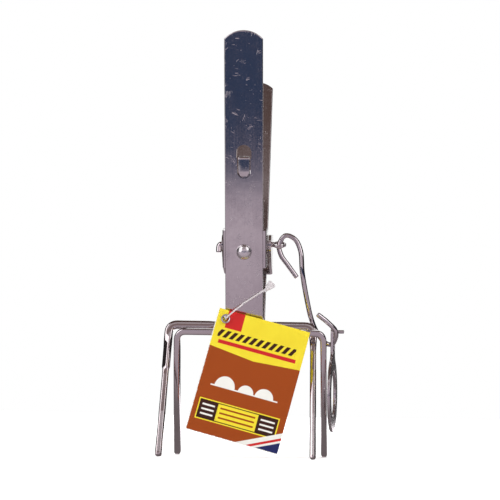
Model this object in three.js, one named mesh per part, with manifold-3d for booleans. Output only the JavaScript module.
// A claw mole trap in plated steel, shut and standing on its claws, with a hanging card tag.
// Units are millimetres and +Z is up. The front handle faces -Y and the trigger side is +X.
// The pivot pin's axis is the X axis until the last lines set the group down on its claws.

import * as THREE from 'three';
import { mergeVertices } from 'three/addons/utils/BufferGeometryUtils.js';
import Module from 'manifold-3d';

const wasm = await Module();
wasm.setup();

// Fits and facets
const contact_gap = 0.3;
const cut_overrun = 5;
const arc_steps = 16;
const bend_steps = 5;
const wire_sides = 12;
const round_sides = 32;

// Handles: two flat strips that lean apart
const arm_lean = THREE.MathUtils.degToRad(17);
const strip_offset = 20;
const strip_width = 20;
const strip_thickness = 2;
const strip_edge_chamfer = 0.4;
const strip_top = 115;
const strip_top_sagitta = 4.4;
const slot_centre = 47.4;
const slot_length = 17.6;
const slot_width = 7;
const slot_wide_width = 8;
const slot_wide_length = 6.6;

// Foot of each strip, folded round the crossbar of its jaw
const foot_flap_rise = 2;
const foot_bend_radius = 2.2;

// Jaws: square bar bent to a U, with claws that are set straighter in two kinks
const jaw_bar = 3.1;
const jaw_bar_chamfer = 0.35;
const jaw_outer_width = 81.6;
const jaw_corner_radius = 6.4;
const jaw_side_shift = 2.8;
const front_bar_drop = 48;
const rear_bar_drop = 43.6;
const claw_foot_drop = 114;
const claw_first_length = 29;
const claw_second_length = 21;
const claw_second_angle = THREE.MathUtils.degToRad(19);
const claw_last_angle = THREE.MathUtils.degToRad(22);
const claw_splay = THREE.MathUtils.degToRad(0.8);
const claw_kink_radius = 14;
const claw_point_length = 6;
const claw_point_share = 0.45;

// Brackets: two U-shaped sheets, the front ears inside the rear ears
const bracket_sheet = 1.4;
const front_bracket_width = 23.4;
const bracket_height = 22;
const bracket_rise = -0.3;
const bracket_shoulder = 9;
const bracket_nose_radius = 5.4;
const bracket_bend_radius = 2;

// Dome rivets
const rivet_head = 8.2;
const rivet_dome = 2.8;
const rivet_rim = 0.5;
const rivet_shank = 4;
const rivet_tail = 6.6;
const rivet_tail_thickness = 1.2;

// Pivot pin with a flattened eye at one end and a bent tail at the other
const pin_diameter = 3;
const pin_end_play = 0.35;
const pin_tail_length = 6.2;
const pin_bend_radius = 1.9;
const eye_diameter = 7.6;
const eye_hole = 4.9;
const eye_thickness = 1.5;
const eye_tip = THREE.MathUtils.degToRad(30);

// Leaf spring with its bend under the pin and a tongue hooked into each slot
const spring_width = 14;
const spring_thickness = 1;
const spring_bend_radius = 5.2;
const spring_bow = 2.4;
const spring_leg_length = 3.5;
const spring_shoulder_drop = 4;
const tongue_width = 6;
const tongue_curl_radius = 1.15;
const tongue_length = 10;
const tongue_end_gap = 1;

// Trigger hook, bent from round wire. Its places are shares of its reach, set-back and drop.
const wire_diameter = 2.7;
const hook_reach = 34.4;
const hook_set_back = 10.2;
const hook_drop = 53.4;
const hook_route_shares = [
  [0.29, 0, -0.315],
  [0.16, 0, -0.21],
  [0.04, 0, -0.11],
  [0, 0, 0],
  [0.12, 0, 0.094],
  [0.3, 0, 0.052],
  [0.395, 0, -0.06],
  [0.405, 0.06, -0.28],
  [0.51, 0.53, -0.58],
  [0.58, 0.86, -0.75],
  [0.665, 1, -0.88],
  [0.76, 0.76, -0.975],
  [0.86, 0.6, -1],
  [0.97, 0.34, -0.955],
  [1, 0.04, -0.86],
  [0.84, -0.18, -0.775],
  [0.69, -0.32, -0.715],
];

// Trigger ring, cut from sheet and hung in the bottom of the hook
const ring_sheet = 1.6;
const ring_outer = 40;
const ring_hole = 25;
const ring_neck_width = 9.4;
const ring_neck_fillet = 6;
const ring_eye = 6.8;
const ring_hang_slack = 0.55;
const ring_eye_to_centre = 25.4;
const ring_head_length = 11.6;
const ring_hang_share = 0.86;
const ring_hang_back_share = 0.6;
const nib_diameter = 2;
const nib_length = 6.2;
const nib_rise = 8.4;

// Hanging tag: a folded card, its eyelet and a plastic loop
const tag_width = 50;
const tag_height = 66;
const tag_card = 0.5;
const tag_fold_gap = 0.8;
const tag_back_margin = 0.9;
const tag_turn = THREE.MathUtils.degToRad(14.5);
const tag_hole_side = 5;
const tag_hole_drop = 4.8;
const tag_clearance = 0.9;
const tag_hole_inset = 0.5;
const tag_hang_drop = 41.6;
const eyelet_hole = 4.4;
const eyelet_flange = 6.8;
const eyelet_flange_thickness = 0.4;
const eyelet_wall = 0.35;
const tie_diameter = 1.3;
const tie_clearance = 0.5;
const tie_high = -13;
const tie_stand_off = 2;
const tie_head_length = 7;
const tie_head_width = 4.6;
const tie_head_thickness = 1.8;

// Colours from the photograph
const plate_bright = { color: 0xc9c4c6, roughness: 0.22, metalness: 1 };
const plate_dark = { color: 0x8d8284, roughness: 0.3, metalness: 1 };
const card_print = { color: 0xf5dc3c, roughness: 0.6, metalness: 0 };
const loop_plastic = { color: 0xdcdcd8, roughness: 0.35, metalness: 0 };

const X_AXIS = new THREE.Vector3(1, 0, 0);
const Y_AXIS = new THREE.Vector3(0, 1, 0);
const Z_AXIS = new THREE.Vector3(0, 0, 1);
const ORIGIN = new THREE.Vector3();

// Turns a closed geometry into a solid that can be joined and cut
function solid(geometry) {
  const bare = geometry.clone();
  bare.deleteAttribute('normal');
  bare.deleteAttribute('uv');
  const merged = mergeVertices(bare, 1e-4);
  const mesh = new wasm.Mesh({
    numProp: 3,
    vertProperties: new Float32Array(merged.attributes.position.array),
    triVerts: new Uint32Array(merged.index.array),
  });
  return new wasm.Manifold(mesh);
}

// Turns a solid back into a geometry
function geometryOf(body) {
  const mesh = body.getMesh();
  const positions = new Float32Array(mesh.numVert * 3);
  for (let i = 0; i < mesh.numVert; i += 1) {
    for (let k = 0; k < 3; k += 1) {
      positions[3 * i + k] = mesh.vertProperties[mesh.numProp * i + k];
    }
  }
  const geometry = new THREE.BufferGeometry();
  geometry.setAttribute('position', new THREE.BufferAttribute(positions, 3));
  geometry.setIndex(new THREE.BufferAttribute(new Uint32Array(mesh.triVerts), 1));
  geometry.computeVertexNormals();
  return geometry;
}

function outline(points) {
  return new THREE.Shape(points.map(([x, y]) => new THREE.Vector2(x, y)));
}

function circle(x, y, radius) {
  const shape = new THREE.Shape();
  shape.absarc(x, y, radius, 0, Math.PI * 2, false);
  return shape;
}

// Extrudes an outline along its own normal, from low to high, in a frame of three axes
function prism(shape, low, high, right, up, out, chamfer = 0) {
  const geometry = new THREE.ExtrudeGeometry(shape, {
    depth: high - low - 2 * chamfer,
    bevelEnabled: chamfer > 0,
    bevelThickness: chamfer,
    bevelSize: chamfer,
    bevelOffset: -chamfer,
    bevelSegments: 1,
    curveSegments: arc_steps,
  });
  geometry.translate(0, 0, low + chamfer);
  geometry.applyMatrix4(new THREE.Matrix4().makeBasis(right, up, out));
  return geometry;
}

// A straight round bar between two points
function bar(from, to, radius, sides) {
  const axis = new THREE.Vector3().subVectors(to, from);
  const geometry = new THREE.CylinderGeometry(radius, radius, axis.length(), sides);
  geometry.applyQuaternion(new THREE.Quaternion().setFromUnitVectors(Y_AXIS, axis.normalize()));
  geometry.translate((from.x + to.x) / 2, (from.y + to.y) / 2, (from.z + to.z) / 2);
  return geometry;
}

// A path of straight runs with a rounded bend at each inner corner
function bentPath(points, radii) {
  const places = [];
  points.forEach((point, i) => {
    const radius = radii[i] ?? 0;
    if (i === 0 || i === points.length - 1 || radius === 0) {
      places.push(point.clone());
      return;
    }
    const into = new THREE.Vector3().subVectors(point, points[i - 1]).normalize();
    const from = new THREE.Vector3().subVectors(points[i + 1], point).normalize();
    const setback = radius * Math.tan(into.angleTo(from) / 2);
    const start = point.clone().addScaledVector(into, -setback);
    const end = point.clone().addScaledVector(from, setback);
    const bend = new THREE.QuadraticBezierCurve3(start, point, end);
    places.push(...bend.getPoints(bend_steps));
  });
  return places;
}

// The direction of a path at each of its places
function directions(places) {
  return places.map((place, i) => {
    const before = places[Math.max(i - 1, 0)];
    const after = places[Math.min(i + 1, places.length - 1)];
    return new THREE.Vector3().subVectors(after, before).normalize();
  });
}

// Joins a section's copies along frames into one closed skin
function sweep(frames, section) {
  const positions = [];
  const index = [];
  const count = section.length;
  frames.forEach(({ centre, across, side, size = 1 }) => {
    section.forEach(([a, b]) => {
      const point = centre.clone();
      point.addScaledVector(across, a * size);
      point.addScaledVector(side, b * size);
      positions.push(point.x, point.y, point.z);
    });
  });
  for (let i = 0; i + 1 < frames.length; i += 1) {
    for (let k = 0; k < count; k += 1) {
      const next = (k + 1) % count;
      const a = i * count + k;
      const b = i * count + next;
      const c = (i + 1) * count + next;
      const d = (i + 1) * count + k;
      index.push(a, b, c, a, c, d);
    }
  }
  const last = (frames.length - 1) * count;
  for (let k = 1; k + 1 < count; k += 1) {
    index.push(0, k + 1, k);
    index.push(last, last + k, last + k + 1);
  }
  const geometry = new THREE.BufferGeometry();
  geometry.setAttribute('position', new THREE.Float32BufferAttribute(positions, 3));
  geometry.setIndex(index);
  return geometry;
}

// Round wire along a list of places, its two ends slightly domed
function wire(places, radius) {
  const section = Array.from({ length: wire_sides }, (_, k) => {
    const angle = (Math.PI * 2 * k) / wire_sides;
    return [Math.cos(angle) * radius, Math.sin(angle) * radius];
  });
  const along = directions(places);
  let across = new THREE.Vector3().crossVectors(along[0], Math.abs(along[0].y) > 0.9 ? X_AXIS : Y_AXIS);
  across.normalize();
  const frames = places.map((centre, i) => {
    across = across.clone().addScaledVector(along[i], -across.dot(along[i])).normalize();
    return { centre, across, side: new THREE.Vector3().crossVectors(along[i], across) };
  });
  const ends = [[-1, 0], [1, frames.length - 1]].map(([sign, i]) => {
    const dome = [[0.25, 0.87], [0.4, 0.6]].map(([rise, size]) => ({
      ...frames[i],
      centre: frames[i].centre.clone().addScaledVector(along[i], sign * rise * radius),
      size,
    }));
    return sign < 0 ? dome.reverse() : dome;
  });
  return sweep([...ends[0], ...frames, ...ends[1]], section);
}

// An arm's own frame: u runs along the pin, v up the strip and w out of it
function armFrame(rear) {
  const sign = rear ? 1 : -1;
  const up = new THREE.Vector3(0, sign * Math.sin(arm_lean), Math.cos(arm_lean));
  const out = new THREE.Vector3(0, sign * Math.cos(arm_lean), -Math.sin(arm_lean));
  const right = new THREE.Vector3().crossVectors(up, out);
  const place = (u, v, w) => new THREE.Vector3()
    .addScaledVector(right, u)
    .addScaledVector(up, v)
    .addScaledVector(out, w);
  return { sign, right, up, out, place };
}

// Where the crossbar's centre lies in its arm's v and w
function crossbarPlace(rear) {
  const drop = rear ? rear_bar_drop : front_bar_drop;
  const w = strip_offset - contact_gap - jaw_bar / 2;
  const v = (w * Math.sin(arm_lean) - drop) / Math.cos(arm_lean);
  return { v, w };
}

// Handle: a strip with an arched top and a keyhole slot, its foot folded round the crossbar
function handle(rear) {
  const { right, up, out } = armFrame(rear);
  const crossbar = crossbarPlace(rear);
  const half = strip_width / 2;
  const outer = strip_offset + strip_thickness;

  // The strip seen from its edge: the long wall, the floor under the bar and the inner flap
  const inner = crossbar.w - jaw_bar / 2 - contact_gap;
  const floor = crossbar.v - jaw_bar / 2 - contact_gap;
  const flap_top = crossbar.v + jaw_bar / 2 + foot_flap_rise;
  const low = floor - strip_thickness;
  const back = inner - strip_thickness;
  const edge = new THREE.Shape();
  edge.moveTo(strip_top + cut_overrun, outer);
  edge.lineTo(low + foot_bend_radius, outer);
  edge.quadraticCurveTo(low, outer, low, outer - foot_bend_radius);
  edge.lineTo(low, back + foot_bend_radius);
  edge.quadraticCurveTo(low, back, low + foot_bend_radius, back);
  edge.lineTo(flap_top, back);
  edge.lineTo(flap_top, inner);
  edge.lineTo(floor, inner);
  edge.lineTo(floor, strip_offset);
  edge.lineTo(strip_top + cut_overrun, strip_offset);
  edge.closePath();

  // The arch that trims its top
  const arch = (half * half + strip_top_sagitta * strip_top_sagitta) / (2 * strip_top_sagitta);
  const reach = Math.asin(half / arch);
  const corner = strip_top - strip_top_sagitta;
  const trim = new THREE.Shape();
  trim.moveTo(half + cut_overrun, low - cut_overrun);
  trim.lineTo(half + cut_overrun, corner);
  trim.lineTo(half, corner);
  trim.absarc(0, strip_top - arch, arch, Math.PI / 2 - reach, Math.PI / 2 + reach, false);
  trim.lineTo(-half - cut_overrun, corner);
  trim.lineTo(-half - cut_overrun, low - cut_overrun);
  trim.closePath();

  const through = (shape, from) => solid(prism(shape, from, outer + cut_overrun, right, up, out));
  const strip = solid(prism(edge, -half, half, up, out, right, strip_edge_chamfer));
  const rivet_hole = circle(0, bracket_rise, rivet_shank / 2 + contact_gap);
  return geometryOf(strip
    .intersect(through(trim, back - cut_overrun))
    .subtract(through(slotShape(), strip_offset - cut_overrun))
    .subtract(through(rivet_hole, strip_offset - cut_overrun)));
}

// The slot has round ends and is a little wider in its upper part
function slotShape() {
  const top = slot_centre + slot_length / 2;
  const bottom = slot_centre - slot_length / 2;
  const wide = slot_wide_width / 2;
  const narrow = slot_width / 2;
  const step = top - slot_wide_length;
  const slot = new THREE.Shape();
  slot.moveTo(wide, top - wide);
  slot.lineTo(wide, step);
  slot.lineTo(narrow, step - (wide - narrow));
  slot.lineTo(narrow, bottom + narrow);
  slot.absarc(0, bottom + narrow, narrow, 0, -Math.PI, true);
  slot.lineTo(-narrow, step - (wide - narrow));
  slot.lineTo(-wide, step);
  slot.lineTo(-wide, top - wide);
  slot.absarc(0, top - wide, wide, Math.PI, 0, true);
  slot.closePath();
  return slot;
}

// Jaw: the crossbar lies square to its arm, and the claws straighten on the way down
function jaw(rear) {
  const { sign, right, up, out, place } = armFrame(rear);
  const crossbar = crossbarPlace(rear);
  const shift = -sign * jaw_side_shift;
  const half = (jaw_outer_width - jaw_bar) / 2;
  const fall = (angle) => new THREE.Vector3(0, -sign * Math.sin(angle), -Math.cos(angle));

  const claw = (side) => {
    const corner = place(0, crossbar.v, crossbar.w).setX(shift + side * half);
    const first = corner.clone().addScaledVector(up, -claw_first_length);
    const second = first.clone().addScaledVector(fall(claw_second_angle), claw_second_length);
    const rest = (second.z + claw_foot_drop) / Math.cos(claw_last_angle);
    const last = second.clone().addScaledVector(fall(claw_last_angle), rest - claw_point_length);
    const tip = second.clone().addScaledVector(fall(claw_last_angle), rest);
    [first, second, last, tip].forEach((place) => {
      place.x += side * Math.tan(claw_splay) * (corner.z - place.z);
    });
    return [corner, first, second, last, tip];
  };
  const left = claw(-1).reverse();
  const rightClaw = claw(1);
  const bends = [0, 0, claw_kink_radius, claw_kink_radius, jaw_corner_radius - jaw_bar / 2];
  const places = bentPath([...left, ...rightClaw], [...bends, ...bends.slice().reverse()]);
  const along = directions(places);
  const frames = places.map((centre, i) => {
    const normal = new THREE.Vector3().crossVectors(along[i], X_AXIS);
    const across = normal.length() < 1e-3 ? out.clone() : normal.normalize();
    across.multiplyScalar(across.dot(out) < 0 ? -1 : 1);
    const end = i === 0 || i === places.length - 1;
    return {
      centre,
      across,
      side: new THREE.Vector3().crossVectors(along[i], across),
      size: end ? claw_point_share : 1,
    };
  });
  const a = jaw_bar / 2;
  const b = a - jaw_bar_chamfer;
  const section = [[a, -b], [a, b], [b, a], [-b, a], [-a, b], [-a, -b], [-b, -a], [b, -a]];
  return sweep(frames, section);
}

// Bracket: a U of sheet whose two ears narrow to a round nose about the pin
function bracket(rear) {
  const { right, up, out } = armFrame(rear);
  const width = rear
    ? front_bracket_width + 2 * (contact_gap + bracket_sheet)
    : front_bracket_width;
  const half = width / 2;
  const base = strip_offset - contact_gap;
  const nose = -bracket_nose_radius;
  const bend = bracket_bend_radius;
  const inner_bend = bend - bracket_sheet;
  const wall = half - bracket_sheet;
  const floor = base - bracket_sheet;

  const channel = new THREE.Shape();
  channel.moveTo(-half, nose);
  channel.lineTo(-wall, nose);
  channel.lineTo(-wall, floor - inner_bend);
  channel.quadraticCurveTo(-wall, floor, -wall + inner_bend, floor);
  channel.lineTo(wall - inner_bend, floor);
  channel.quadraticCurveTo(wall, floor, wall, floor - inner_bend);
  channel.lineTo(wall, nose);
  channel.lineTo(half, nose);
  channel.lineTo(half, base - bend);
  channel.quadraticCurveTo(half, base, half - bend, base);
  channel.lineTo(-half + bend, base);
  channel.quadraticCurveTo(-half, base, -half, base - bend);
  channel.closePath();

  const top = bracket_rise + bracket_height / 2;
  const low = bracket_rise - bracket_height / 2;
  const shoulder = base - bracket_shoulder;
  const ear = new THREE.Shape();
  ear.moveTo(base, low);
  ear.lineTo(base, top);
  ear.lineTo(shoulder, top);
  ear.lineTo(0, bracket_nose_radius);
  ear.absarc(0, 0, bracket_nose_radius, Math.PI / 2, (Math.PI * 3) / 2, false);
  ear.lineTo(shoulder, low);
  ear.closePath();

  const sheet = solid(prism(channel, low, top, right, out, new THREE.Vector3().crossVectors(right, out)));
  const flipped = solid(prism(channel, -top, -low, right, out, new THREE.Vector3().crossVectors(right, out)));
  const body = new THREE.Vector3().crossVectors(right, out).dot(up) > 0 ? sheet : flipped;
  const profile = solid(prism(ear, -half, half, out, up, new THREE.Vector3().crossVectors(out, up)));
  const pin_hole = solid(bar(
    new THREE.Vector3(-half - cut_overrun, 0, 0),
    new THREE.Vector3(half + cut_overrun, 0, 0),
    pin_diameter / 2 + contact_gap,
    round_sides,
  ));
  const rivet_hole = solid(prism(
    circle(0, bracket_rise, rivet_shank / 2 + contact_gap),
    floor - bracket_sheet,
    base + bracket_sheet,
    right,
    up,
    out,
  ));
  return geometryOf(body.intersect(profile).subtract(pin_hole).subtract(rivet_hole));
}

// Rivet: a dome outside, a shank through strip and bracket, and a flattened tail inside
function rivet(rear) {
  const { right, up, out, place } = armFrame(rear);
  const seat = strip_offset + strip_thickness + contact_gap;
  const inside = strip_offset - contact_gap - bracket_sheet - contact_gap;
  const head = rivet_head / 2;
  const rise = rivet_dome - rivet_rim;
  const sphere = (head * head + rise * rise) / (2 * rise);
  const sweep_angle = Math.asin(head / sphere);
  const steps = arc_steps / 2;
  const profile = [new THREE.Vector2(0, inside - rivet_tail_thickness)];
  profile.push(new THREE.Vector2(rivet_tail / 2, inside - rivet_tail_thickness));
  profile.push(new THREE.Vector2(rivet_tail / 2, inside));
  profile.push(new THREE.Vector2(rivet_shank / 2, inside));
  profile.push(new THREE.Vector2(rivet_shank / 2, seat));
  profile.push(new THREE.Vector2(head, seat));
  for (let i = 0; i <= steps; i += 1) {
    const angle = sweep_angle * (1 - i / steps);
    const height = seat + rivet_rim + rise - sphere + sphere * Math.cos(angle);
    profile.push(new THREE.Vector2(i === steps ? 0 : sphere * Math.sin(angle), height));
  }
  const geometry = new THREE.LatheGeometry(profile, round_sides);
  const axes = new THREE.Matrix4().makeBasis(up, out, right);
  axes.setPosition(place(0, bracket_rise, 0));
  geometry.applyMatrix4(axes);
  return geometryOf(solid(geometry));
}

// The rear bracket's outer half width is what the pin has to span
const rear_half = front_bracket_width / 2 + contact_gap + bracket_sheet;
const eye_x = rear_half + pin_end_play + eye_diameter / 2;

// Pin: a straight shank, a tail bent down on the left and a flattened eye on the right
function pin() {
  const bend_x = -rear_half - pin_end_play - pin_diameter / 2;
  const places = bentPath(
    [
      new THREE.Vector3(bend_x, 0, -pin_tail_length),
      new THREE.Vector3(bend_x, 0, 0),
      new THREE.Vector3(rear_half + pin_end_play, 0, 0),
      new THREE.Vector3(eye_x - eye_hole / 2 - eye_thickness / 2, 0, 0),
    ],
    [0, pin_bend_radius, 0, 0],
  );
  const shank = solid(wire(places, pin_diameter / 2));
  const axis = new THREE.Vector3(0, -Math.sin(eye_tip), Math.cos(eye_tip));
  const centre = new THREE.Vector3(eye_x, 0, 0);
  const at = (distance) => centre.clone().addScaledVector(axis, distance);
  const disc = solid(bar(at(-eye_thickness / 2), at(eye_thickness / 2), eye_diameter / 2, round_sides));
  const hole = solid(bar(at(-cut_overrun), at(cut_overrun), eye_hole / 2, round_sides));
  return geometryOf(shank.add(disc).subtract(hole));
}

// A strip of even thickness seen from its edge, as a closed outline
function ribbon(places, thickness) {
  const left = [];
  const right = [];
  places.forEach((place, i) => {
    const before = places[Math.max(i - 1, 0)];
    const after = places[Math.min(i + 1, places.length - 1)];
    const along = new THREE.Vector2().subVectors(after, before).normalize();
    left.push([place.x - along.y * thickness / 2, place.y + along.x * thickness / 2]);
    right.push([place.x + along.y * thickness / 2, place.y - along.x * thickness / 2]);
  });
  return outline([...left, ...right.reverse()]);
}

// Spring: one leaf, bent under the pin, with each tongue curled out through a slot and down
function mainspring() {
  const front = armFrame(false);
  const flat = (v, w) => {
    const place = front.place(0, v, w);
    return new THREE.Vector2(-place.y, place.z);
  };
  const leg_w = strip_offset + strip_thickness / 2 - 2 * tongue_curl_radius;
  const tip_v = slot_centre - slot_length / 2 + tongue_end_gap;
  const curl_v = tip_v + tongue_length - tongue_curl_radius;
  const leg_top = flat(tip_v - spring_leg_length, leg_w);

  const half = [];
  const leave = Math.atan2(leg_top.y, leg_top.x) - Math.PI / 2 + spring_bend_radius / leg_top.length();
  for (let i = 0; i <= arc_steps; i += 1) {
    const angle = -Math.PI / 2 + (leave + Math.PI / 2) * (i / arc_steps);
    half.push(new THREE.Vector2(Math.cos(angle), Math.sin(angle)).multiplyScalar(spring_bend_radius));
  }
  const start = half[half.length - 1];
  const bowed = start.clone().lerp(leg_top, 0.5);
  bowed.x += spring_bow / 2;
  bowed.y -= spring_bow / 2;
  const leg = new THREE.QuadraticBezierCurve(start, bowed, leg_top).getPoints(arc_steps / 2);
  half.push(...leg.slice(1));
  half.push(flat(curl_v, leg_w));
  for (let i = 1; i <= bend_steps * 2; i += 1) {
    const angle = (Math.PI * i) / (bend_steps * 2);
    half.push(flat(
      curl_v + tongue_curl_radius * Math.sin(angle),
      leg_w + tongue_curl_radius * (1 - Math.cos(angle)),
    ));
  }
  half.push(flat(tip_v, leg_w + 2 * tongue_curl_radius));

  const mirrored = half.slice(1).map((place) => new THREE.Vector2(-place.x, place.y)).reverse();
  const side = ribbon([...mirrored, ...half], spring_thickness);
  const minus_y = Y_AXIS.clone().negate();
  const leaf = solid(prism(side, -spring_width / 2, spring_width / 2, minus_y, Z_AXIS, X_AXIS.clone().negate()));
  return geometryOf(leaf.subtract(tongueSides(false)).subtract(tongueSides(true)));
}

// What is cut away to leave a round-ended tongue above each shoulder of the spring
function tongueSides(rear) {
  const { right, up, out } = armFrame(rear);
  const half = spring_width / 2 + cut_overrun;
  const narrow = tongue_width / 2;
  const low = slot_centre - slot_length / 2 - spring_shoulder_drop;
  const high = low + tongue_length + spring_shoulder_drop + cut_overrun * 2;
  const fillet = tongue_width / 4;
  const sides = [-1, 1].map((side) => {
    const shape = new THREE.Shape();
    shape.moveTo(side * half, low);
    shape.lineTo(side * half, high);
    shape.lineTo(side * narrow, high);
    shape.lineTo(side * narrow, low + fillet);
    shape.quadraticCurveTo(side * narrow, low, side * (narrow + fillet), low);
    shape.closePath();
    return solid(prism(shape, strip_offset - cut_overrun * 2, strip_offset + cut_overrun, right, up, out));
  });

  // The tongue's tip is rounded in the plane of the strip
  const tip_low = slot_centre - slot_length / 2 + tongue_end_gap;
  const round = new THREE.Shape();
  round.moveTo(-half, tip_low - cut_overrun);
  round.lineTo(half, tip_low - cut_overrun);
  round.lineTo(half, tip_low + narrow);
  round.lineTo(narrow, tip_low + narrow);
  round.absarc(0, tip_low + narrow, narrow, 0, -Math.PI, true);
  round.lineTo(-half, tip_low + narrow);
  round.closePath();
  const outside = strip_offset + strip_thickness / 2 - tongue_curl_radius;
  return sides[0].add(sides[1]).add(solid(prism(round, outside, outside + cut_overrun, right, up, out)));
}

// Hook: the wire drops through the pin's eye, arcs over, runs down behind both crossbars
// and curls up again round the front jaw's corner
function hookPlace([x, y, z]) {
  return new THREE.Vector3(eye_x + x * hook_reach, y * hook_set_back, z * hook_drop);
}

function triggerHook() {
  const curve = new THREE.CatmullRomCurve3(hook_route_shares.map(hookPlace), false, 'centripetal');
  const steps = Math.ceil(curve.getLength() / (wire_diameter * 0.7));
  return wire(curve.getSpacedPoints(steps), wire_diameter / 2);
}

// Ring: a sheet ring with a neck, a hole for the hook and a small nib on its head
function triggerRing() {
  const hang = hookPlace([ring_hang_share, ring_hang_back_share, -1]);
  const eye_drop = ring_eye / 2 - wire_diameter / 2 - ring_hang_slack;
  const centre_z = -eye_drop - ring_eye_to_centre;
  const half = ring_neck_width / 2;
  const outer = ring_outer / 2;
  const lap = half + ring_neck_fillet;
  const join = Math.asin(lap / (outer + ring_neck_fillet));
  const fillet_z = centre_z + (outer + ring_neck_fillet) * Math.cos(join);

  const face = new THREE.Shape();
  face.moveTo(half, fillet_z);
  face.lineTo(half, ring_head_length - half - eye_drop);
  face.absarc(0, ring_head_length - half - eye_drop, half, 0, Math.PI, false);
  face.lineTo(-half, fillet_z);
  face.absarc(-lap, fillet_z, ring_neck_fillet, 0, -Math.PI / 2 + join, true);
  face.absarc(0, centre_z, outer, Math.PI / 2 + join, Math.PI * 2.5 - join, false);
  face.absarc(lap, fillet_z, ring_neck_fillet, -Math.PI / 2 - join, -Math.PI, true);
  face.closePath();
  face.holes.push(circle(0, centre_z, ring_hole / 2));
  face.holes.push(circle(0, -eye_drop, ring_eye / 2));

  const sheet = solid(prism(face, -ring_sheet / 2, ring_sheet / 2, Y_AXIS, Z_AXIS, X_AXIS));
  const nib = solid(bar(
    new THREE.Vector3(0, 0, nib_rise - eye_drop),
    new THREE.Vector3(ring_sheet / 2 + nib_length, 0, nib_rise - eye_drop),
    nib_diameter / 2,
    wire_sides,
  ));
  const geometry = geometryOf(sheet.add(nib));
  return { geometry, hang };
}

// The tag's own frame: it hangs just in front of the front handle, turned about its hole
function tagFrame() {
  const front = armFrame(false);
  const w = strip_offset + strip_thickness;
  const v = (w * Math.sin(arm_lean) - tag_hang_drop) / Math.cos(arm_lean);
  const skin = front.place(0, v + tag_hole_drop, w).y;
  const depth = tag_fold_gap + 2 * tag_card;
  const y = skin - tag_clearance - depth / 2;
  return new THREE.Vector3(-strip_width / 2 + tag_hole_inset, y, -tag_hang_drop);
}

// Card: one sheet folded along its top edge, with a hole through both leaves
function hangTag() {
  const left = -tag_hole_side;
  const width = tag_width;
  const top = tag_hole_drop;
  const low = top - tag_height;
  const depth = tag_fold_gap / 2 + tag_card;
  const fold = outline([
    [-depth, low],
    [-depth, top],
    [depth, top],
    [depth, low + tag_back_margin],
    [tag_fold_gap / 2, low + tag_back_margin],
    [tag_fold_gap / 2, top - tag_card],
    [-tag_fold_gap / 2, top - tag_card],
    [-tag_fold_gap / 2, low],
  ]);
  const card = solid(prism(fold, left, left + width, Y_AXIS, Z_AXIS, X_AXIS));
  const hole = solid(bar(
    new THREE.Vector3(0, -cut_overrun, 0),
    new THREE.Vector3(0, cut_overrun, 0),
    eyelet_hole / 2 + eyelet_wall + contact_gap,
    round_sides,
  ));
  return geometryOf(card.subtract(hole));
}

// Eyelet: a tube through the card with a flange on each face
function tagEyelet() {
  const seat = tag_fold_gap / 2 + tag_card + contact_gap / 2;
  const outer = eyelet_flange / 2;
  const wall = eyelet_hole / 2 + eyelet_wall;
  const bore = eyelet_hole / 2;
  const end = seat + eyelet_flange_thickness;
  const profile = [
    new THREE.Vector2(bore, -end),
    new THREE.Vector2(outer, -end),
    new THREE.Vector2(outer, -seat),
    new THREE.Vector2(wall, -seat),
    new THREE.Vector2(wall, seat),
    new THREE.Vector2(outer, seat),
    new THREE.Vector2(outer, end),
    new THREE.Vector2(bore, end),
    new THREE.Vector2(bore, -end),
  ];
  return geometryOf(solid(new THREE.LatheGeometry(profile, round_sides)));
}

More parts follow.
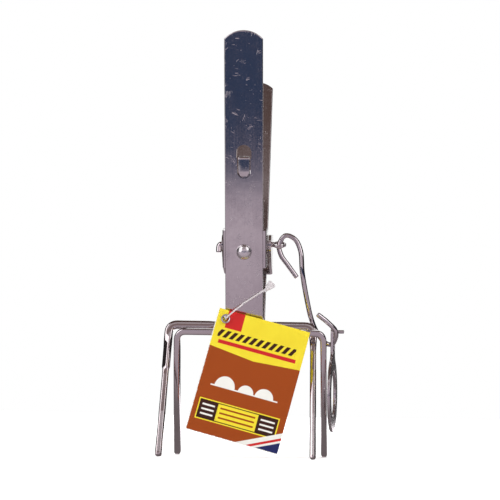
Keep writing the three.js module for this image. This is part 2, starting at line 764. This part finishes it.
// Tie: a plastic loop round the strip and through the tag's hole, closed by an arrow head
function tagTie() {
  const { right, up, out, place } = armFrame(false);
  const radius = tie_diameter / 2;
  const half = strip_width / 2;
  const beside = half + tie_clearance + radius;
  const behind = strip_offset - tie_clearance - radius;
  const before = strip_offset + strip_thickness + tie_clearance + radius;
  const middle = strip_offset + strip_thickness / 2;
  const tag = tagFrame();
  const depth = tag_fold_gap / 2 + tag_card + eyelet_flange_thickness + tie_clearance + radius;
  const to_arm = (point) => [point.x, point.dot(up), point.dot(out)];
  const hole = to_arm(tag);
  const ahead = to_arm(tag.clone().add(new THREE.Vector3(radius, -depth, radius)));
  const past = to_arm(tag.clone().add(new THREE.Vector3(-radius, depth, 0)));
  const head_u = half + tie_head_width / 2 + tie_clearance;
  const stations = [
    [head_u, tie_high, middle + radius],
    [half - tie_stand_off, tie_high - tie_stand_off * 1.5, before + radius],
    [0, (tie_high + hole[1]) / 2, before + tie_stand_off / 2],
    ahead,
    hole,
    past,
    [-beside, hole[1] + radius, before - radius / 2],
    [-beside - radius / 2, hole[1] + tie_stand_off / 2, middle],
    [-half + radius, hole[1] + tie_stand_off, behind],
    [half - radius, tie_high - tie_stand_off * 1.6, behind],
    [beside + radius / 2, tie_high - tie_stand_off * 0.9, middle - radius],
    [head_u + radius / 2, tie_high - radius, middle],
  ];
  const curve = new THREE.CatmullRomCurve3(stations.map((s) => place(...s)), false, 'centripetal');
  const steps = Math.ceil(curve.getLength() / (tie_diameter * 1.4));
  const loop = solid(wire(curve.getSpacedPoints(steps), radius));

  const long = tie_head_length / 2;
  const wide = tie_head_width / 2;
  const arrow = outline([
    [-wide / 2, -long],
    [wide / 2, -long],
    [wide / 2, -long / 4],
    [wide, -long / 4],
    [wide * 0.6, long],
    [-wide * 0.6, long],
    [-wide, -long / 4],
    [-wide / 2, -long / 4],
  ]);
  const head = prism(
    arrow,
    middle - tie_head_thickness / 2,
    middle + tie_head_thickness / 2 + radius,
    right,
    up,
    out,
  );
  const move = place(head_u, tie_high, 0);
  head.translate(move.x, move.y, move.z);
  return geometryOf(loop.add(solid(head)));
}

// The finished pieces, each a mesh of its own
function piece(name, geometry, look) {
  geometry.computeVertexNormals();
  const mesh = new THREE.Mesh(geometry, new THREE.MeshStandardMaterial(look));
  mesh.name = name;
  return mesh;
}

const trap = new THREE.Group();

const front_arm = new THREE.Group();
front_arm.add(piece('front_handle', handle(false), plate_bright));
front_arm.add(piece('front_jaw', jaw(false), plate_bright));
front_arm.add(piece('front_pivot_bracket', bracket(false), plate_bright));
front_arm.add(piece('front_rivet', rivet(false), plate_bright));
trap.add(front_arm);

const rear_arm = new THREE.Group();
rear_arm.add(piece('rear_handle', handle(true), plate_dark));
rear_arm.add(piece('rear_jaw', jaw(true), plate_dark));
rear_arm.add(piece('rear_pivot_bracket', bracket(true), plate_dark));
rear_arm.add(piece('rear_rivet', rivet(true), plate_dark));
trap.add(rear_arm);

trap.add(piece('pivot_pin', pin(), plate_bright));
trap.add(piece('mainspring', mainspring(), plate_bright));
trap.add(piece('trigger_hook', triggerHook(), plate_bright));

const ring = triggerRing();
const ring_mesh = piece('trigger_ring', ring.geometry, plate_bright);
ring_mesh.position.copy(ring.hang);
trap.add(ring_mesh);

const tag = new THREE.Group();
tag.position.copy(tagFrame());
tag.rotation.y = tag_turn;
tag.add(piece('hang_tag', hangTag(), card_print));
tag.add(piece('tag_eyelet', tagEyelet(), plate_bright));
trap.add(tag);
trap.add(piece('tag_tie', tagTie(), loop_plastic));

// The origin goes under the middle of the whole trap, at the claws' points
trap.updateMatrixWorld(true);
const box = new THREE.Box3().setFromObject(trap, true);
const middle = box.getCenter(ORIGIN.clone());
trap.position.set(-middle.x, -middle.y, -box.min.z);
trap.updateMatrixWorld(true);

export default trap;
